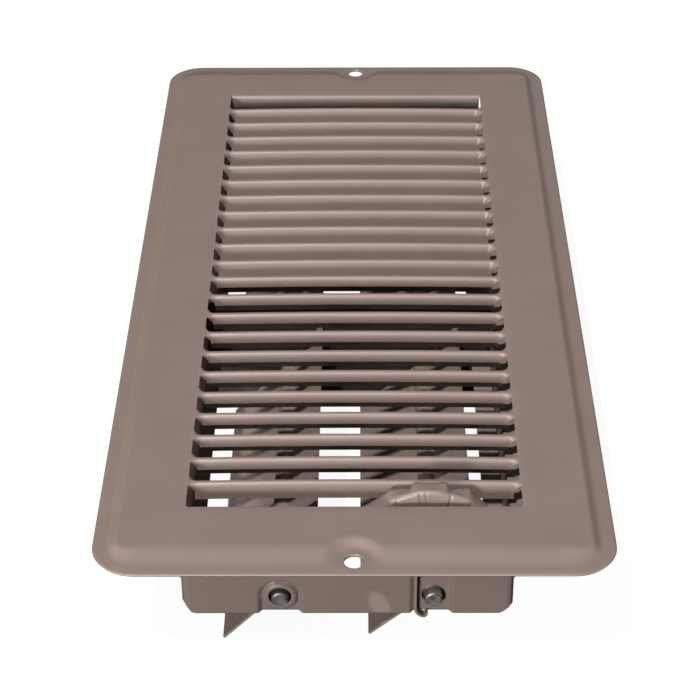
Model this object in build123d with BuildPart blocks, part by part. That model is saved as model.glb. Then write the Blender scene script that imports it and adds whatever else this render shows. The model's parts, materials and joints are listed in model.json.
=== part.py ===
"""Dampered floor register, 4 x 10 inch size: a pressed louvred face plate over a damper box
with two coupled blade shafts, turned by a scalloped thumb wheel.

Millimetres. Origin at the centre of the flange's seating plane, +Z up out of the floor,
+Y along the louvred face away from the thumb wheel, +X to the right seen from the wheel end.
"""

import os
from math import cos, radians, sin

from build123d import *

# ---------------------------------------------------------------- driving dimensions
SHEET = 0.8                 # gauge of every pressed sheet piece
FIT = 0.08                  # radial running clearance of the rods and the link pin

# face plate
FLANGE_LENGTH = 292.1
FLANGE_WIDTH = 139.7
FLANGE_CORNER = 12.0
FACE_TOP = 2.4              # top of the raised field above the floor
STEP_FOOT = 4.0             # where the step starts, in from the flange edge
STEP_RUN = 2.4              # plan width of the step's slope
SCREW_SPACING = 281.4
SCREW_HOLE = 2.75
SCREW_PAD = 6.9             # flat radius of the pressed pad round a screw hole
OPENING_LENGTH = 238.0
OPENING_WIDTH = 91.7
END_LIP = 6.6               # depth of the turned-down lip at each end of the opening

# louvres
HALF_COUNT = 11             # louvres in each half of the face
NEAR_START = -108.8         # crest of the louvre next to the thumb wheel
NEAR_PITCH = 10.43
FAR_START = 5.2             # crest of the far half's first louvre
FAR_PITCH = 10.36
SLAT_HALF_LENGTH = 44.1
SLAT_LIP = 3.3              # short side, below the crest
FIRST_LIP = 4.8             # the same on the louvre next to the thumb wheel
SLAT_FLAP = 7.5             # long side, below the crest
FLAP_RUN = 2.2              # how far the long side leans over its height
CREST_RADIUS = 1.1
NECK_WIDTH = 2.0             # of the bridges that join the louvres to the field

# damper box, a little off the face plate's centre line
BOX_LENGTH = 250.0
BOX_LEFT = -47.9
BOX_RIGHT = 44.0
BOX_BOTTOM = -31.6
LEFT_CORNER = (2.6, 4.5)    # width and height of the end plates' clipped lower corners
RIGHT_CORNER = (3.2, 3.2)
RAIL_TOP = -5.8
RAIL_BOTTOM = -24.4
LEFT_HEM = 4.0              # inward turn of each rail's bottom edge, where the shut blades stop
RIGHT_HEM = 5.7
TOP_HEM = 3.4               # outward turn of the right rail's top edge, under the louvres' ends
BOX_FLANGE = 6.4            # width of the end plates' outward flanges under the face plate
FLANGE_END = 4.0            # how far those flanges stop short of the plate's sides
NOTCH_HALF = 6.5            # notch in the end plates' top edge, behind the screw hole
NOTCH_BOTTOM = -17.5
BRACE_Y = -9.6
BRACE_TOP = -4.0
BRACE_BOTTOM = -40.5
BRACE_NECK = (-23.0, -25.2)  # where the brace narrows to pass between the rails' hems
BRACE_GAP = 0.4
TAB_LENGTH = 6.0            # the end plates' corner tabs, along Y
TAB_HEIGHT = 17.0
TAB_Z = -14.4
DISH_RADIUS = 6.4
DISH_DEPTH = 1.4
DRAFT = 1.2                 # plan width of a pressed wall
CHANNEL_LEFT = 15.3
CHANNEL_RIGHT = 27.4
CHANNEL_TOP = -4.0
COLLAR_RADIUS = 4.3         # turned-up collar round a rod in its dish
COLLAR_HEIGHT = 0.9
RIVET_RADIUS = 1.2
RIVET_HEAD = 2.0
RIVET_RISE = 0.8
SPRING_GAUGE = 0.7
SPRING_WIDTH = 2.2

# blades and their shafts
ROD_RADIUS = 2.4
ROD_LENGTH = 252.6
LEFT_X = -20.7
RIGHT_X = 21.9
PIVOT_Z = -25.8
LOWER_WING = 27.0           # from the axis to the blade's lower edge
UPPER_WING = 17.6
LEFT_TILT = 47.0            # of the lower wings, half-open, as assembled
RIGHT_TILT = 42.0
LEFT_DOGLEG = 8.0           # the upper wings stand this much steeper
RIGHT_DOGLEG = 10.5
CORNER_CUT = 3.0            # the lower wings are this much narrower at the box's ends
CORNER_LENGTH = 14.0
BLADE_FRONT = -122.2
BLADE_REAR = 116.4
BLADE_SHEET = 0.7
CLIP_RADIUS = 4.8
CLIP_SHEET = 0.8

# thumb wheel: a sector with a crimped rim, concentric with the right shaft
WHEEL_FRONT = -117.5
WHEEL_DEPTH = 5.2
# the scalloped rim: degrees clockwise from straight up, half-open, and radius
WHEEL_RIM = (
    (-54.0, 29.0), (-46.0, 30.6), (-44.5, 29.8), (-38.5, 29.4), (-31.5, 29.5), (-26.0, 30.1),
    (-23.5, 30.7), (-21.0, 30.3), (-13.1, 29.2), (-12.0, 29.9), (-10.4, 31.2), (-7.0, 30.8),
    (-1.9, 30.35), (3.0, 30.6), (6.4, 31.0), (7.6, 29.6), (8.9, 28.5), (12.0, 28.9),
    (18.9, 30.2), (21.0, 29.2), (23.5, 28.4), (32.4, 27.3),
)
BOSS_RADIUS = 8.0
HUB_RADIUS = 5.0
WHEEL_SHEET = 0.8
RELIEF_BOTTOM = -20.3       # notch in the right rail for the wheel when the blades are shut
RELIEF_WIDTH = 7.4

# linkage at the far end
CRANK_ARM = 10.0
CRANK_FRONT = 117.0
CRANK_SHEET = 1.2
LINK_FRONT = 118.8
LINK_WIDTH = 6.4
PIN_HEAD = 2.6
PIN_REAR = 121.2
PIN_RADIUS = 1.6
OPEN_PIVOT = 0.3            # radial clearance where the linkage's loop is left open

# ---------------------------------------------------------------- derived
SCREW_Y = SCREW_SPACING / 2
FIELD_LENGTH = FLANGE_LENGTH - 2 * (STEP_FOOT + STEP_RUN)
FIELD_WIDTH = FLANGE_WIDTH - 2 * (STEP_FOOT + STEP_RUN)
FOOT_LENGTH = FLANGE_LENGTH - 2 * STEP_FOOT
FOOT_WIDTH = FLANGE_WIDTH - 2 * STEP_FOOT
FIELD_UNDER = FACE_TOP - SHEET
BOX_END = BOX_LENGTH / 2
INNER_LEFT = BOX_LEFT + SHEET
INNER_RIGHT = BOX_RIGHT - SHEET
END_INNER = BOX_END - SHEET
RIVET_Y = -BOX_END + 0.62 * TAB_LENGTH
RIVET_Z = (TAB_Z - 0.3 * TAB_HEIGHT, TAB_Z + 0.3 * TAB_HEIGHT)
BRACE_RIVET_Y = BRACE_Y - 0.62 * TAB_LENGTH
DISH_INNER = BOX_END - DISH_DEPTH - SHEET
PIVOTS = (LEFT_X, RIGHT_X)
WALLS = ((BOX_LEFT, 1), (BOX_RIGHT, -1))   # outer face of each rail and the way in from it
BACKING = 6.0               # depth of the forming blocks that the sheets are peeled from


def upright(y):
    """A plane facing the wheel end at the given y, with its x along +X and its y along +Z."""
    return Plane(origin=(0, y, 0), x_dir=(1, 0, 0), z_dir=(0, -1, 0))


def side_plane(x):
    """A plane facing +X at the given x, with its x along +Y and its y along +Z."""
    return Plane(origin=(x, 0, 0), x_dir=(0, 1, 0), z_dir=(1, 0, 0))


def save(piece, name):
    piece.label = name
    export_step(piece, f"parts/{name}.step")


def polar(radius, angle):
    """A point by its radius and its angle from +X, in degrees."""
    return (radius * cos(radians(angle)), radius * sin(radians(angle)))


os.makedirs("parts", exist_ok=True)

# ---------------------------------------------------------------- face plate
# The solid that the sheet is pressed over: its upper skin, one gauge deep, is the plate.
with BuildPart() as face_form:
    with BuildSketch(Plane.XY.offset(-BACKING)):
        RectangleRounded(FLANGE_WIDTH, FLANGE_LENGTH, FLANGE_CORNER)
    extrude(amount=BACKING + SHEET)
    with BuildSketch(Plane.XY.offset(SHEET)):
        RectangleRounded(FOOT_WIDTH, FOOT_LENGTH, FLANGE_CORNER - STEP_FOOT)
    with BuildSketch(Plane.XY.offset(FACE_TOP)):
        RectangleRounded(FIELD_WIDTH, FIELD_LENGTH, FLANGE_CORNER - STEP_FOOT - STEP_RUN)
    loft(ruled=True)
    with Locations((0, -SCREW_Y, SHEET), (0, SCREW_Y, SHEET)):
        Cone(SCREW_PAD, SCREW_PAD + STEP_RUN, FACE_TOP - SHEET,
             align=(Align.CENTER, Align.CENTER, Align.MIN), mode=Mode.SUBTRACT)

CREST_INNER = CREST_RADIUS - SHEET


def louvre(lip_depth):
    """One louvre, its crest's middle at the origin and its short lip towards -Y."""
    with BuildPart() as slat:
        with BuildSketch(side_plane(-SLAT_HALF_LENGTH)):
            with BuildLine():
                lip = Line((-CREST_RADIUS, -lip_depth), (-CREST_RADIUS, -CREST_RADIUS))
                crest = ThreePointArc(lip @ 1, (0, 0), (CREST_RADIUS, -CREST_RADIUS))
                flap = Line(crest @ 1, (CREST_RADIUS + FLAP_RUN, -SLAT_FLAP))
                edge = Line(flap @ 1, (CREST_INNER + FLAP_RUN, -SLAT_FLAP))
                inside = Line(edge @ 1, (CREST_INNER, -CREST_RADIUS))
                bend = ThreePointArc(inside @ 1, (0, -SHEET), (-CREST_INNER, -CREST_RADIUS))
                Polyline(bend @ 1, (-CREST_INNER, -lip_depth), lip @ 0)
            make_face()
        extrude(amount=2 * SLAT_HALF_LENGTH)
        with Locations((0, 0, -SHEET / 2)):
            Box(OPENING_WIDTH + 0.2, NECK_WIDTH, SHEET)
    return slat.part


with BuildPart() as face_plate:
    add(face_form.part)
    add(face_form.part.moved(Location((0, 0, -SHEET))), mode=Mode.SUBTRACT)
    with BuildSketch(Plane.XY.offset(-BACKING)):
        Rectangle(OPENING_WIDTH, OPENING_LENGTH)
    extrude(amount=2 * BACKING, mode=Mode.SUBTRACT)
    with Locations((0, -SCREW_Y, SHEET), (0, SCREW_Y, SHEET)):
        Hole(SCREW_HOLE, depth=SHEET + BACKING)
    for end in (-1, 1):
        with Locations((0, end * (OPENING_LENGTH + SHEET) / 2, FACE_TOP - END_LIP / 2)):
            Box(OPENING_WIDTH - 2.0, SHEET, END_LIP)
    for index in range(HALF_COUNT):
        near_y = NEAR_START + index * NEAR_PITCH
        far_y = FAR_START + index * FAR_PITCH
        lip_depth = FIRST_LIP if index == 0 else SLAT_LIP
        add(louvre(lip_depth).moved(Location((0, near_y, FACE_TOP))))
        add(louvre(SLAT_LIP).moved(Location((0, far_y, FACE_TOP), (0, 0, 180))))
save(face_plate.part, "face_plate")

# ---------------------------------------------------------------- damper box
# Each end plate is the front skin of a block with the same dishes and channel pressed in it.


def pressed_slot(left, right, top):
    """The upright drafted slot, open at the bottom, that is pressed into the block's face."""
    with BuildPart() as slot:
        with BuildSketch(Plane.XY.offset(BOX_BOTTOM)):
            with BuildLine():
                Polyline((left, -BOX_END), (left + DRAFT, -BOX_END + DISH_DEPTH),
                         (right - DRAFT, -BOX_END + DISH_DEPTH), (right, -BOX_END), close=True)
            make_face()
        extrude(amount=top - BOX_BOTTOM)
    return slot.part


def end_plate(with_channel):
    """The end plate at the wheel end, with a dish at each rod or a channel at the right one."""
    dished = PIVOTS[:1] if with_channel else PIVOTS
    with BuildPart() as form:
        with BuildSketch(upright(-BOX_END)):
            with BuildLine():
                Polyline(
                    (BOX_LEFT, FIELD_UNDER), (BOX_LEFT, BOX_BOTTOM + LEFT_CORNER[1]),
                    (BOX_LEFT + LEFT_CORNER[0], BOX_BOTTOM), (BOX_RIGHT - RIGHT_CORNER[0], BOX_BOTTOM),
                    (BOX_RIGHT, BOX_BOTTOM + RIGHT_CORNER[1]), (BOX_RIGHT, FIELD_UNDER), close=True)
            make_face()
        extrude(amount=-BACKING)
        with Locations(*[Pos(x, -BOX_END, PIVOT_Z) * Rot(90, 0, 0) for x in dished]):
            Cone(DISH_RADIUS - DRAFT, DISH_RADIUS, DISH_DEPTH,
                 align=(Align.CENTER, Align.CENTER, Align.MAX), mode=Mode.SUBTRACT)
        for x in dished:
            add(pressed_slot(x - DISH_RADIUS, x + DISH_RADIUS, PIVOT_Z), mode=Mode.SUBTRACT)
        if with_channel:
            add(pressed_slot(CHANNEL_LEFT, CHANNEL_RIGHT, CHANNEL_TOP), mode=Mode.SUBTRACT)
    with BuildPart() as plate:
        add(form.part)
        add(form.part.moved(Location((0, SHEET, 0))), mode=Mode.SUBTRACT)
        with BuildSketch(upright(-DISH_INNER)):
            with Locations(*[(x, PIVOT_Z) for x in dished]):
                Circle(COLLAR_RADIUS)
        extrude(amount=SHEET + COLLAR_HEIGHT)
        # top flange under the face plate and a tab inside each rail
        flange_width = BOX_RIGHT - BOX_LEFT - 2 * FLANGE_END
        with Locations(((BOX_LEFT + BOX_RIGHT) / 2, SHEET - BOX_END - BOX_FLANGE / 2, FIELD_UNDER - SHEET / 2)):
            Box(flange_width, BOX_FLANGE, SHEET)
        with BuildSketch(upright(-BOX_END - BOX_FLANGE)):
            with Locations((0, NOTCH_BOTTOM)):
                Rectangle(2 * NOTCH_HALF, BACKING - NOTCH_BOTTOM, align=(Align.CENTER, Align.MIN))
        extrude(amount=-2 * BOX_FLANGE, mode=Mode.SUBTRACT)
        for wall_x, inward in WALLS:
            tab_x = wall_x + 1.5 * inward * SHEET
            with Locations((tab_x, -BOX_END + TAB_LENGTH / 2, TAB_Z)):
                Box(SHEET, TAB_LENGTH, TAB_HEIGHT)
            with Locations(*[Pos(tab_x, RIVET_Y, z) * Rot(0, 90, 0) for z in RIVET_Z]):
                Cylinder(RIVET_RADIUS, 2 * SHEET, mode=Mode.SUBTRACT)
        with BuildSketch(upright(-BOX_END - 1.0)):
            with Locations(*[(x, PIVOT_Z) for x in PIVOTS]):
                Circle(ROD_RADIUS + FIT)
        extrude(amount=-8.0, mode=Mode.SUBTRACT)
    return plate.part


save(end_plate(with_channel=True), "front_end_plate")
save(mirror(end_plate(with_channel=False), about=Plane.XZ), "rear_end_plate")


def side_rail(wall_x, inward, hem):
    """One long wall of the box, hemmed inward along its bottom; the right one has a top hem too."""
    with BuildPart() as rail:
        with BuildSketch(upright(-END_INNER)):
            with BuildLine():
                Polyline(
                    (wall_x, RAIL_TOP), (wall_x, RAIL_BOTTOM),
                    (wall_x + inward * (SHEET + hem), RAIL_BOTTOM),
                    (wall_x + inward * (SHEET + hem), RAIL_BOTTOM + SHEET),
                    (wall_x + inward * SHEET, RAIL_BOTTOM + SHEET),
                    (wall_x + inward * SHEET, RAIL_TOP), close=True)
            make_face()
        extrude(amount=-2 * END_INNER)
        spots = [(end * RIVET_Y, z) for end in (-1, 1) for z in RIVET_Z]
        spots += [(BRACE_RIVET_Y, z) for z in RIVET_Z]
        with Locations(*[Pos(wall_x, y, z) * Rot(0, 90, 0) for y, z in spots]):
            Cylinder(RIVET_RADIUS, 4 * SHEET, mode=Mode.SUBTRACT)
        if inward < 0:
            with Locations((wall_x + TOP_HEM / 2, 0, RAIL_TOP - SHEET / 2)):
                Box(TOP_HEM, 2 * END_INNER, SHEET)
            with Locations((wall_x, WHEEL_FRONT + WHEEL_DEPTH / 2, RELIEF_BOTTOM)):
                Box(3 * TOP_HEM, RELIEF_WIDTH, RAIL_TOP - RELIEF_BOTTOM + 1.0,
                    align=(Align.CENTER, Align.CENTER, Align.MIN), mode=Mode.SUBTRACT)
    return rail.part


save(side_rail(BOX_LEFT, 1, LEFT_HEM), "left_side_rail")
save(side_rail(BOX_RIGHT, -1, RIGHT_HEM), "right_side_rail")

NECK_LEFT = INNER_LEFT + LEFT_HEM + BRACE_GAP
NECK_RIGHT = INNER_RIGHT - RIGHT_HEM - BRACE_GAP
NECK_TOP, NECK_BOTTOM = BRACE_NECK
with BuildPart() as centre_brace:
    with BuildSketch(upright(BRACE_Y)):
        with BuildLine():
            Polyline(
                (INNER_LEFT, BRACE_TOP), (INNER_LEFT, NECK_TOP), (NECK_LEFT, NECK_TOP),
                (NECK_LEFT, NECK_BOTTOM), (INNER_LEFT, NECK_BOTTOM), (INNER_LEFT, BRACE_BOTTOM),
                (INNER_RIGHT, BRACE_BOTTOM), (INNER_RIGHT, NECK_BOTTOM), (NECK_RIGHT, NECK_BOTTOM),
                (NECK_RIGHT, NECK_TOP), (INNER_RIGHT, NECK_TOP), (INNER_RIGHT, BRACE_TOP), close=True)
        make_face()
        with Locations(*[(x, PIVOT_Z) for x in PIVOTS]):
            Circle(ROD_RADIUS + FIT, mode=Mode.SUBTRACT)
    extrude(amount=SHEET)
    for wall_x, inward in WALLS:
        with Locations((wall_x + 1.5 * inward * SHEET, BRACE_Y - TAB_LENGTH / 2, TAB_Z)):
            Box(SHEET, TAB_LENGTH, TAB_HEIGHT)
        with Locations(*[Pos(wall_x, BRACE_RIVET_Y, z) * Rot(0, 90, 0) for z in RIVET_Z]):
            Cylinder(RIVET_RADIUS, 6 * SHEET, mode=Mode.SUBTRACT)
save(centre_brace.part, "centre_brace")


def rivets(rows):
    """Rivets through a tab and a rail, headed outside, at each of the rows along Y."""
    with BuildPart() as group:
        for wall_x, inward in WALLS:
            for y in rows:
                for z in RIVET_Z:
                    with Locations(Pos(wall_x + 2 * inward * SHEET, y, z) * Rot(0, -inward * 90, 0)):
                        Cylinder(RIVET_RADIUS, 2 * SHEET, align=(Align.CENTER, Align.CENTER, Align.MIN))
                    with Locations(Pos(wall_x, y, z) * Rot(0, -inward * 90, 0)):
                        Cone(RIVET_HEAD, 0.6 * RIVET_HEAD, RIVET_RISE,
                             align=(Align.CENTER, Align.CENTER, Align.MIN))
    return group.part


save(rivets((RIVET_Y, -RIVET_Y)), "corner_rivets")
save(rivets((BRACE_RIVET_Y,)), "brace_rivets")

# Flat spring down the channel's left wall, its hooked foot under the right shaft.
SPRING_X = CHANNEL_LEFT + DRAFT + SPRING_GAUGE / 2
with BuildPart() as friction_spring:
    with BuildSketch(upright(-BOX_END + DISH_DEPTH)):
        with BuildLine():
            back = Line((SPRING_X, CHANNEL_TOP - 6.0), (SPRING_X, BOX_BOTTOM + 2.2))
            heel = ThreePointArc(back @ 1, (SPRING_X + 0.6, BOX_BOTTOM + 0.5),
                                 (SPRING_X + 2.0, BOX_BOTTOM - 0.5))
            ThreePointArc(heel @ 1, (SPRING_X + 2.8, BOX_BOTTOM - 0.4), (SPRING_X + 3.2, BOX_BOTTOM + 0.4))
            offset(amount=SPRING_GAUGE / 2)
        make_face()
    extrude(amount=SPRING_WIDTH)
save(friction_spring.part, "friction_spring")

# ---------------------------------------------------------------- shafts and blades


def rod(x):
    with BuildPart() as shaft:
        with BuildSketch(upright(-ROD_LENGTH / 2)):
            with Locations((x, PIVOT_Z)):
                Circle(ROD_RADIUS)
        extrude(amount=-ROD_LENGTH)
        chamfer(shaft.edges().filter_by(GeomType.CIRCLE), 0.4)
    return shaft.part


def blade(x, tilt, dogleg, front, rear, bead_front, root_cut):
    """One blade: two wings at an angle, joined by a half-round bead over the shaft.

    Ahead of bead_front the bead is cut away, and the wings within root_cut of the axis.
    """
    bead = ROD_RADIUS + BLADE_SHEET
    slope = tilt + dogleg / 2
    corner_front = BLADE_FRONT if front == BLADE_FRONT else BLADE_REAR - CORNER_LENGTH
    with BuildPart() as leaf:
        with BuildSketch(upright(front)):
            with Locations((x, PIVOT_Z)):
                Circle(bead)
            with Locations(Pos(x, PIVOT_Z) * Rot(0, 0, slope)):
                with Locations((0, -BLADE_SHEET / 2)):
                    Rectangle(2 * bead, 2 * bead, align=(Align.CENTER, Align.MAX), mode=Mode.SUBTRACT)
            for length, angle in ((UPPER_WING, tilt + dogleg), (LOWER_WING, 180.0 + tilt)):
                with Locations(Pos(x, PIVOT_Z) * Rot(0, 0, angle)):
                    Rectangle(length, BLADE_SHEET, align=(Align.MIN, Align.CENTER))
            with Locations((x, PIVOT_Z)):
                Circle(ROD_RADIUS, mode=Mode.SUBTRACT)
        extrude(amount=front - rear)
        with BuildSketch(upright(corner_front)):
            with Locations(Pos(x, PIVOT_Z) * Rot(0, 0, 180.0 + tilt) * Pos(LOWER_WING - CORNER_CUT, 0)):
                Rectangle(2 * CORNER_CUT, 4 * BLADE_SHEET, align=(Align.MIN, Align.CENTER))
        extrude(amount=-CORNER_LENGTH, mode=Mode.SUBTRACT)
        if bead_front > front:
            with BuildSketch(upright(front)):
                with Locations((x, PIVOT_Z)):
                    Circle(root_cut)
            extrude(amount=front - bead_front, mode=Mode.SUBTRACT)
        if front < WHEEL_FRONT < bead_front:
            with BuildSketch(upright(front)):
                with Locations(Pos(x, PIVOT_Z) * Rot(0, 0, slope)):
                    Rectangle(UPPER_WING + 2.0, 2 * UPPER_WING, align=(Align.MIN, Align.CENTER))
            extrude(amount=front - bead_front, mode=Mode.SUBTRACT)
    return leaf.part


FRONT_REAR_EDGE = BRACE_Y - SHEET - 0.8
REAR_FRONT_EDGE = BRACE_Y + 0.8
CLIP_FRONT = -DISH_INNER + 0.3
WHEEL_REAR = WHEEL_FRONT + WHEEL_DEPTH


def ring(x, y, thickness, outer):
    """A push-on ring round a rod, from y towards +Y."""
    with BuildPart() as washer:
        with BuildSketch(upright(y)):
            with Locations((x, PIVOT_Z)):
                Circle(outer)
                Circle(ROD_RADIUS, mode=Mode.SUBTRACT)
        extrude(amount=-thickness)
    return washer.part


def crank(x):
    """The arm on a shaft's far end that the link bar joins to the other shaft's."""
    with BuildPart() as arm:
        with BuildSketch(upright(CRANK_FRONT)):
            with Locations(Pos(x, PIVOT_Z + CRANK_ARM / 2) * Rot(0, 0, 90)):
                SlotCenterToCenter(CRANK_ARM, 2 * CLIP_RADIUS)
            with Locations((x, PIVOT_Z)):
                Circle(ROD_RADIUS, mode=Mode.SUBTRACT)
            with Locations((x, PIVOT_Z + CRANK_ARM)):
                Circle(PIN_RADIUS, mode=Mode.SUBTRACT)
        extrude(amount=-CRANK_SHEET)
    return arm.part


def crank_pin(x):
    with BuildPart() as pin:
        with BuildSketch(upright(CRANK_FRONT)):
            with Locations((x, PIVOT_Z + CRANK_ARM)):
                Circle(PIN_RADIUS)
        extrude(amount=CRANK_FRONT - PIN_REAR)
        with BuildSketch(upright(PIN_REAR - 0.8)):
            with Locations((x, PIVOT_Z + CRANK_ARM)):
                Circle(PIN_HEAD)
        extrude(amount=-0.8)
        fillet(pin.edges().filter_by(GeomType.CIRCLE).sort_by(Axis.Y)[-1], 0.4)
    return pin.part


for side_name, pivot_x in zip(("left", "right"), PIVOTS):
    driven = side_name == "left"
    tilt = LEFT_TILT if driven else RIGHT_TILT
    dogleg = LEFT_DOGLEG if driven else RIGHT_DOGLEG
    bead_start = CLIP_FRONT + CLIP_SHEET + 0.6 if driven else WHEEL_REAR + 1.2
    root_cut = (CLIP_RADIUS if driven else BOSS_RADIUS) + 0.6
    save(rod(pivot_x), f"{side_name}_pivot_rod")
    save(blade(pivot_x, tilt, dogleg, BLADE_FRONT, FRONT_REAR_EDGE, bead_start, root_cut),
         f"{side_name}_front_blade")
    save(blade(pivot_x, tilt, dogleg, REAR_FRONT_EDGE, BLADE_REAR, REAR_FRONT_EDGE, 0),
         f"{side_name}_rear_blade")
    save(ring(pivot_x, CLIP_FRONT, CLIP_SHEET, CLIP_RADIUS), f"{side_name}_front_clip")
    save(ring(pivot_x, -CLIP_FRONT - CLIP_SHEET, CLIP_SHEET, CLIP_RADIUS), f"{side_name}_rear_clip")
    save(crank(pivot_x), f"{side_name}_crank")
    save(crank_pin(pivot_x), f"{side_name}_crank_pin")

# ---------------------------------------------------------------- thumb wheel
with BuildPart() as thumb_wheel:
    with BuildSketch(upright(WHEEL_FRONT)) as wheel_outline:
        with BuildLine():
            centre = Vector(RIGHT_X, PIVOT_Z)
            rim = [centre + Vector(*polar(radius, 90.0 - angle)) for angle, radius in WHEEL_RIM]
            Polyline(centre, *rim, close=True)
        make_face()
        with Locations((RIGHT_X, PIVOT_Z)):
            Circle(BOSS_RADIUS)
    extrude(amount=-WHEEL_DEPTH)
    with BuildSketch(upright(WHEEL_FRONT + WHEEL_SHEET)):
        offset(wheel_outline.sketch_local, amount=-WHEEL_SHEET)
    extrude(amount=-WHEEL_DEPTH, mode=Mode.SUBTRACT)
    with BuildSketch(upright(WHEEL_FRONT)):
        with Locations((RIGHT_X, PIVOT_Z)):
            Circle(ROD_RADIUS)
    extrude(amount=-WHEEL_DEPTH, mode=Mode.SUBTRACT)
save(thumb_wheel.part, "thumb_wheel")
save(ring(RIGHT_X, WHEEL_FRONT + WHEEL_SHEET, WHEEL_DEPTH, HUB_RADIUS), "wheel_hub")

# ---------------------------------------------------------------- link bar
with BuildPart() as link_bar:
    with BuildSketch(upright(LINK_FRONT)):
        with Locations(((LEFT_X + RIGHT_X) / 2, PIVOT_Z + CRANK_ARM)):
            SlotCenterToCenter(RIGHT_X - LEFT_X, LINK_WIDTH)
        with Locations((RIGHT_X, PIVOT_Z + CRANK_ARM)):
            Circle(PIN_RADIUS + FIT, mode=Mode.SUBTRACT)
        with Locations((LEFT_X, PIVOT_Z + CRANK_ARM)):
            Circle(PIN_RADIUS + OPEN_PIVOT, mode=Mode.SUBTRACT)
    extrude(amount=-CRANK_SHEET)
save(link_bar.part, "link_bar")
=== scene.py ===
"""A dampered floor register on a pale studio floor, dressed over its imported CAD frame."""

import json
from math import cos, hypot, pi, radians, sin

import bmesh
import bpy
from mathutils import Matrix, Vector


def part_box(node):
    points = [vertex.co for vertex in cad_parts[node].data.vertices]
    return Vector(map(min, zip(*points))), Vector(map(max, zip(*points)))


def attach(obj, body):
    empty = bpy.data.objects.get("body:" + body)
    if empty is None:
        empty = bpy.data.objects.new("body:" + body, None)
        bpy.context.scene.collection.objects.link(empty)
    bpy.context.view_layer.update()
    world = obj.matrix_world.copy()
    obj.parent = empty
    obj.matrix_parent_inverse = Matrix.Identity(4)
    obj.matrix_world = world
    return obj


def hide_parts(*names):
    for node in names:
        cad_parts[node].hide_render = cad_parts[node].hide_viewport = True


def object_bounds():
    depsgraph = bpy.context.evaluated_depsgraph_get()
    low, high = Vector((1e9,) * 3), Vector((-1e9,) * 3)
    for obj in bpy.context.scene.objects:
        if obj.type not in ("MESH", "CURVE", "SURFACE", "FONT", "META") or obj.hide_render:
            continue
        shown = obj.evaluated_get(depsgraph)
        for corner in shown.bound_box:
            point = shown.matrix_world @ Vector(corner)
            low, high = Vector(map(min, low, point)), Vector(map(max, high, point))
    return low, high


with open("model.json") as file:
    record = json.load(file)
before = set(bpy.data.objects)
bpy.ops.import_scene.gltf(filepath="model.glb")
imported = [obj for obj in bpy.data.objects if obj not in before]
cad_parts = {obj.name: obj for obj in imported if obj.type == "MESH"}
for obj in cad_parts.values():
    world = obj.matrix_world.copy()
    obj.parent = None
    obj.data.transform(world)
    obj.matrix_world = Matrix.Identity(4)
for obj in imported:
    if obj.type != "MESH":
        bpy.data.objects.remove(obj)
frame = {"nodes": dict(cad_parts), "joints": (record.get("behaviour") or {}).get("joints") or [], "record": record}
nodes = frame["nodes"]
cad_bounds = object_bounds()

MM = 0.001

# ---------------------------------------------------------------- sizes, in metres
FACE_HIGH = Vector(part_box("face_plate")[1])
HALF_WIDTH = FACE_HIGH.x
HALF_LENGTH = FACE_HIGH.y
FACE_TOP = FACE_HIGH.z
SHEET = 0.8 * MM
FLANGE_CORNER = 12 * MM
# the step up from the rim to the field: (along the sides, along the ends), and how far the two blend
STEP_FOOT = (3.8 * MM, 2.6 * MM)
STEP_RUN = (2.8 * MM, 8.0 * MM)
STEP_BLEND = 12 * MM
STEP_CORNER = 1.2 * MM
EDGE_DROP, EDGE_ROLL = 0.25 * MM, 0.6 * MM
RIM_RISE = 0.12 * MM
SCREWS = frame["record"]["mounts"][0]["dims"]
SCREW_Y = SCREWS["spacing_y_mm"] / 2 * MM
SCREW_HOLE = SCREWS["hole_r_mm"] * MM
PAD_FLAT = 4.5 * MM
PAD_RUN = 4.4 * MM
OPEN_X = 45.85 * MM
OPEN_Y = 119 * MM
END_LIP = 6.6 * MM
SIDE_LIP = 0.4 * MM
LIP_BEND = 1.2 * MM
SIDE_SHARE = 0.12      # of the ends' bend, along the opening's sides
MOUTH_CORNER = 0.2 * MM
ARC_STEPS = 10

HALF_COUNT = 11
NEAR_START, NEAR_PITCH = -108.8 * MM, 10.43 * MM
FAR_START, FAR_PITCH = 5.2 * MM, 10.36 * MM
SLAT_HALF = 44.1 * MM
CREST = 1.1 * MM
SLAT_LIP = 3.3 * MM
FIRST_LIP = 5.4 * MM
SLAT_FLAP = 7.5 * MM
FLAP_RUN = 2.2 * MM
SLAT_BOW = 0.45 * MM
STRAIGHT_LIP = 0.65    # of a louvre's lip, below its crest
NECK_START, NECK_END = SLAT_HALF - 0.8 * MM, OPEN_X + 0.5 * MM
NECK_SPREAD = (-1.7 * MM, 2.6 * MM)
NECK_PROUD = 0.015 * MM

JOINTS = {joint["name"]: joint for joint in frame["joints"]}
RIGHT_AXIS = Vector(JOINTS["right_shaft_turn"]["pos_m"])
LEFT_AXIS = Vector(JOINTS["left_shaft_turn"]["pos_m"])


def smooth(t):
    """0 below 0, 1 above 1, with a level start and end."""
    t = min(1.0, max(0.0, t))
    return t * t * (3 - 2 * t)


def lerp(a, b, t):
    """a where t is 0, b where t is 1."""
    return a + (b - a) * t


def spaced(low, high, step):
    """Even stations from low to high, both included, about step apart."""
    count = max(1, round((high - low) / step))
    return [low + (high - low) * i / count for i in range(count + 1)]


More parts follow.
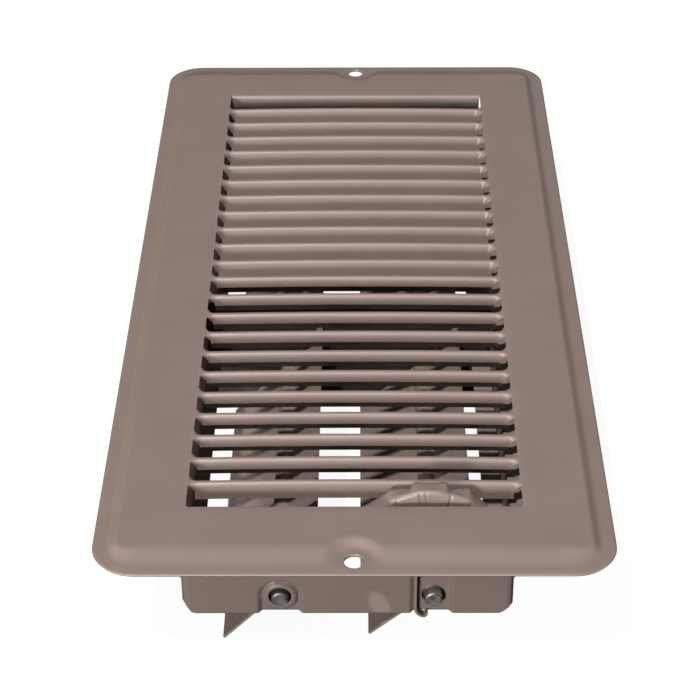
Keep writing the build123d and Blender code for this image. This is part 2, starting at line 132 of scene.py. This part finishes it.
def new_piece(name, verts, faces, material, shade=35.0):
    """A mesh object in the row frame, with consistent normals, smooth below the shade angle."""
    mesh = bpy.data.meshes.new(name)
    mesh.from_pydata([tuple(v) for v in verts], [], faces)
    piece = bpy.data.objects.new(name, mesh)
    bpy.context.scene.collection.objects.link(piece)
    form = bmesh.new()
    form.from_mesh(mesh)
    bmesh.ops.remove_doubles(form, verts=form.verts, dist=1e-7)
    bmesh.ops.recalc_face_normals(form, faces=form.faces)
    form.to_mesh(mesh)
    form.free()
    mesh.materials.append(material)
    mesh.shade_smooth()
    mesh.set_sharp_from_angle(angle=radians(shade))
    return piece


def applied(piece):
    """piece with its modifiers made part of its mesh."""
    graph = bpy.context.evaluated_depsgraph_get()
    baked = bpy.data.meshes.new_from_object(piece.evaluated_get(graph))
    piece.modifiers.clear()
    piece.data = baked
    return piece


# ---------------------------------------------------------------- pressed face plate
def corner_ring(half_x, half_y, radius, flats_x, flats_y):
    """Points round a rounded rectangle, counter-clockwise from the right end of its near side.

    flats_x and flats_y are stations from -1 to 1 along the straight sides.
    """
    ring = []
    reach_x, reach_y = half_x - radius, half_y - radius
    sides = (
        (lambda t: (t * reach_x, -half_y), flats_x, (reach_x, -reach_y), -90),
        (lambda t: (half_x, t * reach_y), flats_y, (reach_x, reach_y), 0),
        (lambda t: (-t * reach_x, half_y), flats_x, (-reach_x, reach_y), 90),
        (lambda t: (-half_x, -t * reach_y), flats_y, (-reach_x, -reach_y), 180),
    )
    for along, flats, centre, start in sides:
        ring += [along(t) for t in flats]
        for step in range(1, ARC_STEPS):
            angle = radians(start + 90 * step / ARC_STEPS)
            ring.append((centre[0] + radius * cos(angle), centre[1] + radius * sin(angle)))
    return ring


def face_height(inset, x, y):
    """Height of the plate's upper skin at a distance in from the flange edge."""
    edge = -EDGE_DROP * (1 - min(1.0, inset / EDGE_ROLL)) ** 2
    end_share = smooth(0.5 + (HALF_WIDTH - abs(x) - HALF_LENGTH + abs(y)) / STEP_BLEND)
    foot, run = lerp(*STEP_FOOT, end_share), lerp(*STEP_RUN, end_share)
    rim = RIM_RISE * smooth(inset / foot)
    rise = smooth((inset - foot) / run)
    from_screw = hypot(x, abs(y) - SCREW_Y)
    rise *= smooth((from_screw - PAD_FLAT) / PAD_RUN)
    return SHEET + edge + rim * (1 - rise) + (FACE_TOP - SHEET) * rise


def graded(fine_half, fine, coarse, half):
    """Stations from -1 to 1 over a side of that half-length, finer near its middle."""
    middle = [v / half for v in spaced(-fine_half, fine_half, fine)]
    outer = [v / half for v in spaced(fine_half, half, coarse)][1:]
    return [-v for v in reversed(outer)] + middle + outer


def at_end(y):
    """Whether a point of the opening's outline lies on one of its two ends."""
    return abs(abs(y) - OPEN_Y) < 1e-7


def lip_share(x, y):
    """1 along the opening's ends, where the sheet turns down, and little along its sides."""
    return 1.0 if at_end(y) and abs(x) < OPEN_X - 0.1 * MM else SIDE_SHARE


def face_sheet(paint):
    """The rim, step, screw pads and field, in to the opening's bent-down end lips."""
    flats_x = graded(11 * MM, 0.45 * MM, 2.2 * MM, HALF_WIDTH - FLANGE_CORNER)
    flats_y = graded(4 * MM, 2.2 * MM, 2.2 * MM, HALF_LENGTH - FLANGE_CORNER)
    insets = spaced(0, EDGE_ROLL, 0.2 * MM) + spaced(EDGE_ROLL, 9 * MM, 0.4 * MM)[1:]
    insets += spaced(9 * MM, 16 * MM, 0.6 * MM)[1:]
    rings = []
    for inset in insets:
        radius = max(FLANGE_CORNER - inset, STEP_CORNER)
        ring = corner_ring(HALF_WIDTH - inset, HALF_LENGTH - inset, radius, flats_x, flats_y)
        rings.append([(x, y, face_height(inset, x, y)) for x, y in ring])
    field_edge = rings[-1]
    mouth = corner_ring(OPEN_X, OPEN_Y, MOUTH_CORNER, flats_x, flats_y)
    bend_start = []
    for x, y in mouth:
        bend = LIP_BEND * lip_share(x, y)
        if at_end(y):
            bend_start.append((x, y + (bend if y > 0 else -bend), FACE_TOP))
        else:
            bend_start.append((x + (bend if x > 0 else -bend), y, FACE_TOP))
    for t in (0.35, 0.7, 1.0):
        rings.append([tuple(lerp(a, b, t) for a, b in zip(p, q)) for p, q in zip(field_edge, bend_start)])
    for angle in (22.5, 45, 67.5, 90):
        ring = []
        for (x, y), (sx, sy, _) in zip(mouth, bend_start):
            bend = LIP_BEND * lip_share(x, y)
            share = 1 - sin(radians(angle))
            ring.append((x + (sx - x) * share, y + (sy - y) * share,
                         FACE_TOP - bend * (1 - cos(radians(angle)))))
        rings.append(ring)
    rings.append([(x, y, FACE_TOP - (SIDE_LIP if lip_share(x, y) == SIDE_SHARE else END_LIP))
                  for x, y in mouth])
    count = len(rings[0])
    verts = [p for ring in rings for p in ring]
    faces = []
    for row in range(len(rings) - 1):
        for i in range(count):
            j = (i + 1) % count
            faces.append((row * count + i, row * count + j, (row + 1) * count + j, (row + 1) * count + i))
    sheet = new_piece("face_sheet", verts, faces, paint, shade=40)
    if sheet.data.polygons[0].normal.z < 0:
        sheet.data.flip_normals()
    thick = sheet.modifiers.new("gauge", "SOLIDIFY")
    thick.thickness = SHEET
    thick.offset = -1
    thick.use_even_offset = True
    punch = screw_punch(paint)
    cut = sheet.modifiers.new("screws", "BOOLEAN")
    cut.operation = "DIFFERENCE"
    cut.solver = "EXACT"
    cut.object = punch
    applied(sheet)
    bpy.data.objects.remove(punch)
    return sheet


def screw_punch(material):
    """Two short round punches where the screws go."""
    verts, faces, sides = [], [], 48
    for centre in (-SCREW_Y, SCREW_Y):
        base = len(verts)
        for z in (-4 * MM, 4 * MM):
            verts += [(SCREW_HOLE * cos(2 * pi * i / sides), centre + SCREW_HOLE * sin(2 * pi * i / sides), z)
                      for i in range(sides)]
        faces.append([base + i for i in reversed(range(sides))])
        faces.append([base + sides + i for i in range(sides)])
        for i in range(sides):
            j = (i + 1) % sides
            faces.append((base + i, base + j, base + sides + j, base + sides + i))
    return new_piece("screw_punch", verts, faces, material)


def slat_outline(lip):
    """A louvre's section as (along Y, down) pairs: outer skin from lip to flap, then back inside."""
    inner = CREST - SHEET
    arc = [radians(a) for a in range(180, -1, -15)]
    outer = [(-CREST, lip), (-CREST, STRAIGHT_LIP * lip)]
    outer += [(CREST * cos(a), CREST * (1 - sin(a))) for a in arc]
    outer += [(CREST + FLAP_RUN * t, lerp(CREST, SLAT_FLAP, t)) for t in (0.33, 0.66, 1.0)]
    under = [(inner + FLAP_RUN * t, lerp(CREST, SLAT_FLAP, t)) for t in (1.0, 0.66, 0.33)]
    under += [(inner * cos(a), CREST - inner * sin(a)) for a in reversed(arc)]
    under += [(-inner, STRAIGHT_LIP * lip), (-inner, lip)]
    return outer + under


def bow(x):
    """How far a louvre stands up in its middle."""
    return SLAT_BOW * (1 - (x / SLAT_HALF) ** 2)


def slat_mesh(centre_y, facing, lip):
    """Vertices and faces of one louvre; facing 1 puts its long side towards +Y."""
    outline = slat_outline(lip)
    stations = [-1, -0.985, -0.96] + spaced(-0.92, 0.92, 0.115) + [0.96, 0.985, 1]
    verts, faces = [], []
    for u in stations:
        for across, down in outline:
            x = u * SLAT_HALF
            verts.append((x, centre_y + facing * across, FACE_TOP - down + bow(x)))
    count = len(outline)
    for column in range(len(stations) - 1):
        for i in range(count):
            j = (i + 1) % count
            a, b = column * count, (column + 1) * count
            faces.append((a + i, a + j, b + j, b + i))
    last = (len(stations) - 1) * count
    for i in range(count // 2 - 1):
        j = count - 1 - i
        faces.append((i, i + 1, j - 1, j))
        faces.append((last + i, last + i + 1, last + j - 1, last + j))
    return verts, faces


def neck_mesh(centre_y, side, facing):
    """A louvre's drawn end: its crest and upper sides flare out and flatten into the field."""
    arc = [radians(a) for a in range(180, -1, -20)]
    ridge = [(-CREST, 2.0 * MM), (-CREST, 1.5 * MM)]
    ridge += [(CREST * cos(a), CREST * (1 - sin(a))) for a in arc]
    ridge += [(CREST + FLAP_RUN * t, lerp(CREST, SLAT_FLAP, t)) for t in (0.12, 0.24, 0.38)]
    across = len(ridge)
    rows = 9
    verts, faces = [], []
    for layer in (0, 0.7 * SHEET):      # upper skin, under skin
        for row in range(rows):
            u = row / (rows - 1)
            x = lerp(NECK_START, NECK_END, u)
            flat = smooth(u / 0.9)
            for i, (y, down) in enumerate(ridge):
                spread = lerp(*NECK_SPREAD, i / (across - 1))
                y_at = lerp(y, spread, smooth(u) ** 1.5)
                z = FACE_TOP - down * (1 - flat) - layer * (1 + 0.6 * (1 - flat)) + NECK_PROUD
                verts.append((side * x, centre_y + facing * y_at, z + bow(SLAT_HALF) * (1 - u)))
    shift = rows * across
    for row in range(rows - 1):
        for i in range(across - 1):
            a = row * across + i
            faces.append((a, a + 1, a + across + 1, a + across))
            faces.append((shift + a, shift + a + across, shift + a + across + 1, shift + a + 1))
    rim = list(range(across)) + [row * across + across - 1 for row in range(1, rows)]
    rim += [(rows - 1) * across + i for i in range(across - 2, -1, -1)]
    rim += [row * across for row in range(rows - 2, 0, -1)]
    for a, b in zip(rim, rim[1:] + rim[:1]):
        faces.append((a, b, shift + b, shift + a))
    return verts, faces


def face_louvres(paint):
    """All the louvres with their drawn ends: the near half tips its long sides away from the wheel."""
    verts, faces = [], []
    crests = [(NEAR_START + i * NEAR_PITCH, 1) for i in range(HALF_COUNT)]
    crests += [(FAR_START + i * FAR_PITCH, -1) for i in range(HALF_COUNT)]
    for y, facing in crests:
        slat = slat_mesh(y, facing, FIRST_LIP if y == NEAR_START else SLAT_LIP)
        for part in [slat] + [neck_mesh(y, side, facing) for side in (-1, 1)]:
            base = len(verts)
            verts += part[0]
            faces += [tuple(base + i for i in face) for face in part[1]]
    return new_piece("face_louvres", verts, faces, paint, shade=50)


# ---------------------------------------------------------------- thumb wheel
WHEEL_LOW, WHEEL_HIGH = (Vector(corner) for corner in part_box("thumb_wheel"))
WHEEL_DEPTH = WHEEL_HIGH.y - WHEEL_LOW.y
HUB_FLAT = (3.0, 5.0, 8.0, 14.0, 20.0)      # millimetres from the shaft
SHOULDER = 22.5 * MM
WEB_DEPTH = 0.55 * MM
CREASE_DEPTH = 0.35 * MM
ROUND_OVER = 1.3 * MM
# degrees clockwise from straight up, and radius in millimetres, of the rim's rear and front edges
REAR_RIM = (
    (-54.0, 29.0), (-46.0, 30.6), (-44.5, 29.8), (-38.5, 29.4), (-31.5, 29.5), (-26.0, 30.1),
    (-23.5, 30.7), (-21.0, 30.3), (-13.1, 29.2), (-12.0, 29.9), (-10.4, 31.2), (-7.0, 30.8),
    (-1.9, 30.35), (3.0, 30.6), (6.4, 31.0), (7.6, 29.6), (8.9, 28.5), (12.0, 28.9),
    (18.9, 30.2), (21.0, 29.2), (23.5, 28.4), (32.4, 27.3),
)
FRONT_RIM = (
    (-54.0, 29.2), (-38.0, 29.6), (-28.0, 30.0), (-20.8, 30.6), (-12.6, 31.0), (-8.7, 31.25), (2.7, 31.05),
    (7.5, 30.3), (14.7, 30.0), (20.0, 29.6), (25.0, 28.5), (32.4, 27.4),
)
CREASES = ((-21.5, 1.3), (-8.0, 1.0), (-4.6, 0.7), (8.6, 1.3), (20.5, 1.2))   # degrees, half-width


def rim_radius(table, angle, window):
    """An edge's radius at an angle, averaged over a window in degrees to either side."""
    total, samples = 0.0, 9
    for step in range(samples):
        at = angle + window * (2 * step / (samples - 1) - 1)
        at = min(table[-1][0], max(table[0][0], at))
        for (a0, r0), (a1, r1) in zip(table, table[1:]):
            if at <= a1:
                total += lerp(r0, r1, (at - a0) / (a1 - a0))
                break
    return total / samples * MM


def wheel_section(angle):
    """The wheel's outer skin at one angle in degrees, from hub to rim: (radius, depth) pairs."""
    front_rim, rear_rim = rim_radius(FRONT_RIM, angle, 2.0), rim_radius(REAR_RIM, angle, 0.7)
    crease = sum(max(0.0, 1 - abs(angle - at) / half) for at, half in CREASES)
    points = [(radius * MM, WEB_DEPTH) for radius in HUB_FLAT] + [(SHOULDER, WEB_DEPTH)]
    for t in (0.2, 0.4, 0.6, 0.8, 1.0):
        radius = lerp(SHOULDER, front_rim - ROUND_OVER, t)
        points.append((radius, WEB_DEPTH * (1 - smooth(t)) + CREASE_DEPTH * crease * smooth(2 * t)))
    for a in (22.5, 45, 67.5, 90):
        turned = radians(a)
        points.append((front_rim - ROUND_OVER * (1 - sin(turned)),
                       CREASE_DEPTH * crease * cos(turned) + ROUND_OVER * (1 - cos(turned))))
    for t in (0.25, 0.5, 0.75, 1.0):
        depth = lerp(ROUND_OVER, WHEEL_DEPTH, t)
        points.append((lerp(front_rim, rear_rim, t ** 0.7), depth))
    return points


def thumb_wheel(paint):
    """A stamped sector with a scalloped rim, its scallops fading into the front face."""
    start, end = REAR_RIM[0][0], REAR_RIM[-1][0]
    steps = round((end - start) / 0.4)
    verts, faces = [], []
    for step in range(steps + 1):
        angle = lerp(start, end, step / steps)
        turned = radians(angle)
        for radius, depth in wheel_section(angle):
            verts.append((RIGHT_AXIS.x + radius * sin(turned), WHEEL_LOW.y + depth,
                          RIGHT_AXIS.z + radius * cos(turned)))
    row = len(verts) // (steps + 1)
    for step in range(steps):
        for i in range(row - 1):
            a = step * row + i
            faces.append((a, a + 1, a + row + 1, a + row))
    wheel = new_piece("wheel_shell", verts, faces, paint, shade=50)
    thick = wheel.modifiers.new("gauge", "SOLIDIFY")
    thick.thickness = SHEET
    thick.offset = -1
    if wheel.data.polygons[0].normal.y > 0:
        wheel.data.flip_normals()
    return applied(wheel)


# ---------------------------------------------------------------- front end plate
PLATE_LOW, PLATE_HIGH = (Vector(corner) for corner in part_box("front_end_plate"))
BOX_LEFT, BOX_RIGHT = PLATE_LOW.x, PLATE_HIGH.x
BOX_FRONT = -125 * MM
BOX_BOTTOM = PLATE_LOW.z
PLATE_TOP = PLATE_HIGH.z
# the clipped lower corners: width, rise
LEFT_CORNER = (2.6 * MM, 4.5 * MM)
RIGHT_CORNER = (3.2 * MM, 3.2 * MM)
CORNER_BEND, CORNER_TURN = 1.2 * MM, 0.9 * MM
PLAIN_HALF = 8 * MM                  # the flat middle's half width
DISH_RADIUS = 6.3 * MM
DISH_DEPTH = 1.4 * MM
BOSS_RADIUS, BOSS_RUN, BOSS_HEIGHT = 5.5 * MM, 1.7 * MM, 1.9 * MM
CHANNEL = (15.3 * MM, 27.4 * MM)
DRAFT = 1.3 * MM
RIDGE_AT, RIDGE_HALF, RIDGE_HEIGHT = CHANNEL[1] + 0.5 * MM, 1.1 * MM, 0.5 * MM
NOTCH = (6.5 * MM, -17.5 * MM)       # half width, bottom
LEFT_BORE, RIGHT_BORE = 3.2 * MM, 3.3 * MM
LEFT_BORE_RISE = 0.25 * MM           # above its shaft, so that the gap shows over it
FLANGE_IN = 4.0 * MM
TAB_BOTTOM, TAB_TOP = -22.9 * MM, -5.9 * MM
PUNCH_OUT, PUNCH_IN = 4 * MM, 6 * MM


def plate_depth(x, z):
    """How far the end plate's front skin is pressed in at a point, less where it stands out."""
    if abs(x) <= PLAIN_HALF:
        return 0.0
    across, above = x - LEFT_AXIS.x, z - LEFT_AXIS.z
    dish = DISH_DEPTH * smooth((DISH_RADIUS - hypot(across, max(0.0, above))) / DRAFT)
    boss = BOSS_HEIGHT * smooth((BOSS_RADIUS - hypot(across, above)) / BOSS_RUN)
    left, right = CHANNEL
    channel = DISH_DEPTH * smooth(min(x - left, right - x) / DRAFT)
    ridge = RIDGE_HEIGHT * smooth(1 - abs(x - RIDGE_AT) / RIDGE_HALF)
    return max(dish - boss, channel - ridge)


def end_plate(paint):
    """The front plate's pressed skin, with its clipped corners, corner bends and top notch."""
    fine = 0.5 * MM
    dish_left, dish_right = LEFT_AXIS.x - 8 * MM, LEFT_AXIS.x + 8 * MM
    channel_left, channel_right = CHANNEL[0] - 1 * MM, CHANNEL[1] + 2 * MM
    dish_top = LEFT_AXIS.z + 8 * MM
    spans = [(BOX_LEFT, dish_left, 1.2 * MM), (dish_left, dish_right, fine),
             (dish_right, channel_left, 2 * MM), (channel_left, channel_right, fine),
             (channel_right, BOX_RIGHT, 1.2 * MM)]
    xs = [BOX_LEFT] + [x for low, high, step in spans for x in spaced(low, high, step)[1:]]
    zs = spaced(BOX_BOTTOM, dish_top, fine) + spaced(dish_top, PLATE_TOP, 1.6 * MM)[1:]
    verts = []
    for z in zs:
        for x in xs:
            inset, (clip_width, clip_rise) = min((x - BOX_LEFT, LEFT_CORNER), (BOX_RIGHT - x, RIGHT_CORNER))
            lift = clip_rise * max(0.0, 1 - inset / clip_width)
            z_at = lerp(BOX_BOTTOM + lift, PLATE_TOP, (z - BOX_BOTTOM) / (PLATE_TOP - BOX_BOTTOM))
            turn = CORNER_TURN * (1 - min(1.0, inset / CORNER_BEND)) ** 2
            verts.append((x, BOX_FRONT + plate_depth(x, z_at) + turn, z_at))
    width = len(xs)
    faces = []
    for row in range(len(zs) - 1):
        for i in range(width - 1):
            a = row * width + i
            faces.append((a, a + 1, a + width + 1, a + width))
    plate = new_piece("front_end_skin", verts, faces, paint, shade=50)
    if plate.data.polygons[0].normal.y > 0:
        plate.data.flip_normals()
    thick = plate.modifiers.new("gauge", "SOLIDIFY")
    thick.thickness = SHEET
    thick.offset = -1
    punch = plate_punch(paint)
    cut = plate.modifiers.new("openings", "BOOLEAN")
    cut.operation = "DIFFERENCE"
    cut.solver = "EXACT"
    cut.object = punch
    applied(plate)
    bpy.data.objects.remove(punch)
    return plate


BOX_FACES = ((0, 1, 3, 2), (4, 6, 7, 5), (0, 4, 5, 1), (2, 3, 7, 6), (0, 2, 6, 4), (1, 5, 7, 3))


def add_box(verts, faces, low, high):
    """Append a box between two corners."""
    base = len(verts)
    verts += [(x, y, z) for x in (low[0], high[0]) for y in (low[1], high[1]) for z in (low[2], high[2])]
    faces += [tuple(base + i for i in face) for face in BOX_FACES]


def plate_punch(material):
    """Punches along Y: a loose hole round each shaft, and the notch behind the screw hole."""
    verts, faces, sides = [], [], 40
    front, back = BOX_FRONT - PUNCH_OUT, BOX_FRONT + PUNCH_IN
    for axis, radius, rise in ((LEFT_AXIS, LEFT_BORE, LEFT_BORE_RISE), (RIGHT_AXIS, RIGHT_BORE, 0.0)):
        base = len(verts)
        for y in (front, back):
            verts += [(axis.x + radius * cos(2 * pi * i / sides), y,
                       axis.z + rise + radius * sin(2 * pi * i / sides)) for i in range(sides)]
        faces.append([base + i for i in range(sides)])
        faces.append([base + sides + i for i in reversed(range(sides))])
        for i in range(sides):
            j = (i + 1) % sides
            faces.append((base + i, base + sides + i, base + sides + j, base + j))
    half, bottom = NOTCH
    add_box(verts, faces, (-half, front, bottom), (half, back, 5 * MM))
    return new_piece("plate_punch", verts, faces, material)


def plate_tabs(paint):
    """The end plate's two top flanges under the face and its tabs inside the rails."""
    verts, faces = [], []
    for low_x, high_x in ((BOX_LEFT + FLANGE_IN, -NOTCH[0]), (NOTCH[0], BOX_RIGHT - FLANGE_IN)):
        add_box(verts, faces, (low_x, PLATE_LOW.y, PLATE_TOP - SHEET),
                (high_x, BOX_FRONT + 0.4 * MM, PLATE_TOP))
    for low_x in (BOX_LEFT + SHEET, BOX_RIGHT - 2 * SHEET):
        add_box(verts, faces, (low_x, BOX_FRONT + 0.5 * MM, TAB_BOTTOM),
                (low_x + SHEET, PLATE_HIGH.y, TAB_TOP))
    return new_piece("front_end_tabs", verts, faces, paint, shade=30)


# ---------------------------------------------------------------- materials
class Nodes:
    """A short way to write a material's node tree."""

    def __init__(self, name):
        self.material = bpy.data.materials.new(name)
        self.material.use_nodes = True
        self.tree = self.material.node_tree
        self.shader = self.tree.nodes["Principled BSDF"]
        self.coords = self.tree.nodes.new("ShaderNodeTexCoord").outputs["Object"]

    def link(self, source, target):
        self.tree.links.new(source, target)

    def noise(self, scale, detail, roughness=0.5, stretch=None):
        node = self.tree.nodes.new("ShaderNodeTexNoise")
        node.inputs["Scale"].default_value = scale
        node.inputs["Detail"].default_value = detail
        node.inputs["Roughness"].default_value = roughness
        source = self.coords
        if stretch:
            mapping = self.tree.nodes.new("ShaderNodeMapping")
            mapping.inputs["Scale"].default_value = stretch
            self.link(self.coords, mapping.inputs["Vector"])
            source = mapping.outputs["Vector"]
        self.link(source, node.inputs["Vector"])
        return node.outputs["Fac"]

    def ramp(self, source, stops):
        node = self.tree.nodes.new("ShaderNodeValToRGB")
        self.link(source, node.inputs["Fac"])
        elements = node.color_ramp.elements
        while len(elements) < len(stops):
            elements.new(0.5)
        for element, (place, colour) in zip(elements, stops):
            element.position = place
            element.color = (*colour, 1)
        return node.outputs["Color"]

    def remap(self, source, low, high, to_low, to_high):
        node = self.tree.nodes.new("ShaderNodeMapRange")
        for name, value in zip(("From Min", "From Max", "To Min", "To Max"), (low, high, to_low, to_high)):
            node.inputs[name].default_value = value
        self.link(source, node.inputs["Value"])
        return node.outputs["Result"]

    def mix(self, factor, a, b, mode="MIX"):
        node = self.tree.nodes.new("ShaderNodeMix")
        node.data_type = "RGBA"
        node.blend_type = mode
        for socket, value in (("Factor", factor), ("A", a), ("B", b)):
            target = [s for s in node.inputs if s.name == socket and s.enabled][0]
            if isinstance(value, (int, float)):
                target.default_value = value
            elif isinstance(value, tuple):
                target.default_value = (*value, 1)
            else:
                self.link(value, target)
        return [s for s in node.outputs if s.name == "Result" and s.enabled][0]

    def bump(self, height, distance, strength, under=None):
        node = self.tree.nodes.new("ShaderNodeBump")
        node.inputs["Distance"].default_value = distance
        node.inputs["Strength"].default_value = strength
        self.link(height, node.inputs["Height"])
        if under:
            self.link(under, node.inputs["Normal"])
        return node.outputs["Normal"]

    def edges(self):
        """High where the surface is convex and sharp, such as a cut edge or a bend."""
        return self.tree.nodes.new("ShaderNodeNewGeometry").outputs["Pointiness"]


def enamel(name, colour, roughness, coat):
    """Baked enamel on pressed steel: slight mottling, orange peel, and a lighter tone on sharp edges, partly paint
    thinned there and partly a painted highlight.
    """
    n = Nodes(name)
    deep = tuple(c * 0.97 for c in colour)
    light = tuple(min(1.0, c * 1.03) for c in colour)
    mottled = n.ramp(n.noise(55, 4, 0.55), [(0.35, deep), (0.68, light)])
    specks = n.ramp(n.noise(2600, 2, 0.6), [(0.30, (0.80, 0.80, 0.80)), (0.46, (1, 1, 1))])
    base = n.mix(0.55, mottled, specks, "MULTIPLY")
    # lighter on sharp convex edges: partly paint thinned there, partly a painted edge highlight
    worn_and_highlit = tuple(min(1.0, c * 1.35 + 0.02) for c in colour)
    edge = n.remap(n.edges(), 0.53, 0.60, 0.0, 0.75)
    breakup = n.remap(n.noise(380, 4, 0.6), 0.35, 0.65, 0.35, 1.0)
    factor = n.tree.nodes.new("ShaderNodeMath")
    factor.operation = "MULTIPLY"
    n.link(edge, factor.inputs[0])
    n.link(breakup, factor.inputs[1])
    n.link(n.mix(factor.outputs[0], base, worn_and_highlit), n.shader.inputs["Base Color"])
    n.link(n.remap(n.noise(160, 5, 0.6), 0.3, 0.7, roughness - 0.05, roughness + 0.07),
           n.shader.inputs["Roughness"])
    peel = n.bump(n.noise(900, 3, 0.5), 0.02 * MM, 0.55)
    n.link(n.bump(n.noise(38, 2, 0.4), 0.10 * MM, 0.5, peel), n.shader.inputs["Normal"])
    n.shader.inputs["Coat Weight"].default_value = coat
    n.shader.inputs["Coat Roughness"].default_value = 0.22
    return n.material


def metal(name, colour, roughness, brushed):
    """Bare or plated steel with drawn or rolled marks."""
    n = Nodes(name)
    dark = tuple(c * 0.72 for c in colour)
    tone = n.ramp(n.noise(240, 5, 0.6, stretch=brushed), [(0.3, dark), (0.7, colour)])
    stains = n.ramp(n.noise(90, 4, 0.6), [(0.42, (0.62, 0.58, 0.54)), (0.62, (1, 1, 1))])
    n.link(n.mix(0.5, tone, stains, "MULTIPLY"), n.shader.inputs["Base Color"])
    n.link(n.remap(n.noise(420, 4, 0.6, stretch=brushed), 0.3, 0.7, roughness - 0.1, roughness + 0.12),
           n.shader.inputs["Roughness"])
    n.link(n.bump(n.noise(700, 4, 0.6, stretch=brushed), 0.015 * MM, 0.6), n.shader.inputs["Normal"])
    n.shader.inputs["Metallic"].default_value = 1.0
    return n.material


TAUPE = (0.262, 0.197, 0.172)
materials = {
    "face_paint": enamel("taupe_enamel", TAUPE, 0.40, 0.18),
    "box_paint": enamel("taupe_enamel_box", tuple(0.86 * c for c in TAUPE), 0.46, 0.08),
    # near-black brown for this slot's parts (the centre brace): painted shade, standing in for the shade inside
    # the box
    "dark_paint": enamel("painted_shade_brown", (0.020, 0.011, 0.008), 0.7, 0.0),
    "bare_steel": metal("drawn_steel", (0.66, 0.63, 0.61), 0.46, (1.0, 0.06, 1.0)),
    "zinc_plate": metal("zinc_plate", (0.52, 0.51, 0.48), 0.42, (1.0, 1.0, 1.0)),
}
slot_of = {entry["node"]: entry["material_slot"] for entry in frame["record"]["subparts"]}
for name, node in nodes.items():
    node.data.materials.clear()
    node.data.materials.append(materials[slot_of[name]])
    node.data.set_sharp_from_angle(angle=radians(35))

# ---------------------------------------------------------------- pieces on their bodies
sheet = face_sheet(materials["face_paint"])
louvres = face_louvres(materials["face_paint"])
for piece in (sheet, louvres):
    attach(piece, "frame")
    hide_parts("face_plate")

wheel = thumb_wheel(materials["face_paint"])
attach(wheel, "right_blades")
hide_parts("thumb_wheel")

for piece in (end_plate(materials["box_paint"]), plate_tabs(materials["box_paint"])):
    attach(piece, "frame")
    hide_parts("front_end_plate")

# ---------------------------------------------------------------- floor, light and camera
FLOOR_SIZE = 6.0       # to each side
floor_z = cad_bounds[0][2] - 0.2 * MM
floor_mesh = bpy.data.meshes.new("floor")
floor_corners = ((-FLOOR_SIZE, -FLOOR_SIZE), (FLOOR_SIZE, -FLOOR_SIZE), (FLOOR_SIZE, FLOOR_SIZE),
                 (-FLOOR_SIZE, FLOOR_SIZE))
floor_mesh.from_pydata([(x, y, floor_z) for x, y in floor_corners], [], [(0, 1, 2, 3)])
floor = bpy.data.objects.new("floor", floor_mesh)
bpy.context.scene.collection.objects.link(floor)
pale = Nodes("pale_floor")
pale.link(pale.ramp(pale.noise(3, 2), [(0.3, (0.15, 0.15, 0.15)), (0.7, (0.16, 0.16, 0.16))]),
          pale.shader.inputs["Base Color"])
pale.shader.inputs["Roughness"].default_value = 0.9
pale.shader.inputs["Emission Color"].default_value = (1, 1, 1, 1)
pale.shader.inputs["Emission Strength"].default_value = 0.93
floor.data.materials.append(pale.material)
# the floor glows to stay near white, and throws no light back on the register
floor.visible_diffuse = False
floor.visible_glossy = False

# a dim studio, darker towards the horizon
world = bpy.data.worlds.new("studio")
bpy.context.scene.world = world
world.use_nodes = True
sky = world.node_tree
background = sky.nodes["Background"]
background.inputs["Strength"].default_value = 0.11
direction = sky.nodes.new("ShaderNodeTexCoord")
split = sky.nodes.new("ShaderNodeSeparateXYZ")
sky.links.new(direction.outputs["Generated"], split.inputs["Vector"])
horizon = sky.nodes.new("ShaderNodeValToRGB")
for element, (place, grey) in zip(horizon.color_ramp.elements, ((0.0, 0.10), (0.22, 1.0))):
    element.position = place
    element.color = (grey, grey, grey, 1)
sky.links.new(split.outputs["Z"], horizon.inputs["Fac"])
sky.links.new(horizon.outputs["Color"], background.inputs["Color"])


def area_light(name, place, target, size, power, glossy=True):
    """A round lamp facing the target; without glossy it lights surfaces but has no reflection."""
    lamp = bpy.data.lights.new(name, "AREA")
    lamp.shape = "DISK"
    lamp.size = size
    lamp.energy = power
    lamp_object = bpy.data.objects.new(name, lamp)
    bpy.context.scene.collection.objects.link(lamp_object)
    lamp_object.location = place
    lamp_object.visible_glossy = glossy
    lamp_object.rotation_euler = (Vector(target) - Vector(place)).to_track_quat("-Z", "Y").to_euler()


# the key shines through the near gaps on the blades, the fill on the box's near end, and the other
# two keep its walls readable from the right and from behind
area_light("key", (-0.6, -1.5, 2.52), (0, 0, 0), 0.14, 75)
area_light("fill", (-1.0, -2.2, 0.48), (0, 0, 0), 0.6, 54)
area_light("side", (2.2, 0.5, 0.42), (0, 0, 0), 1.0, 5, glossy=False)
area_light("back", (0.4, 2.4, 0.42), (0, 0, 0), 1.0, 12, glossy=False)

# the camera, fitted to the flange's edges and the screw holes
CAMERA_PLACE = (1.779 * MM, -542.22 * MM, 347.51 * MM)
FOCAL = 103.03
ELEVATION, YAW, ROLL = radians(34.778), radians(-0.37), radians(-0.293)
camera_data = bpy.data.cameras.new("camera")
camera_data.lens = FOCAL
camera_data.sensor_width = 36
camera_data.clip_start = 0.01
camera = bpy.data.objects.new("camera", camera_data)
bpy.context.scene.collection.objects.link(camera)
forward = Vector((sin(YAW) * cos(ELEVATION), cos(YAW) * cos(ELEVATION), -sin(ELEVATION)))
right = Vector((cos(YAW), -sin(YAW), 0))
up = right.cross(forward)
tilted_right = right * cos(ROLL) + up * sin(ROLL)
tilted_up = up * cos(ROLL) - right * sin(ROLL)
turn = Matrix((tilted_right, tilted_up, -forward)).transposed().to_4x4()
camera.matrix_world = Matrix.Translation(CAMERA_PLACE) @ turn
bpy.context.scene.camera = camera
bpy.context.scene.view_settings.view_transform = "Standard"
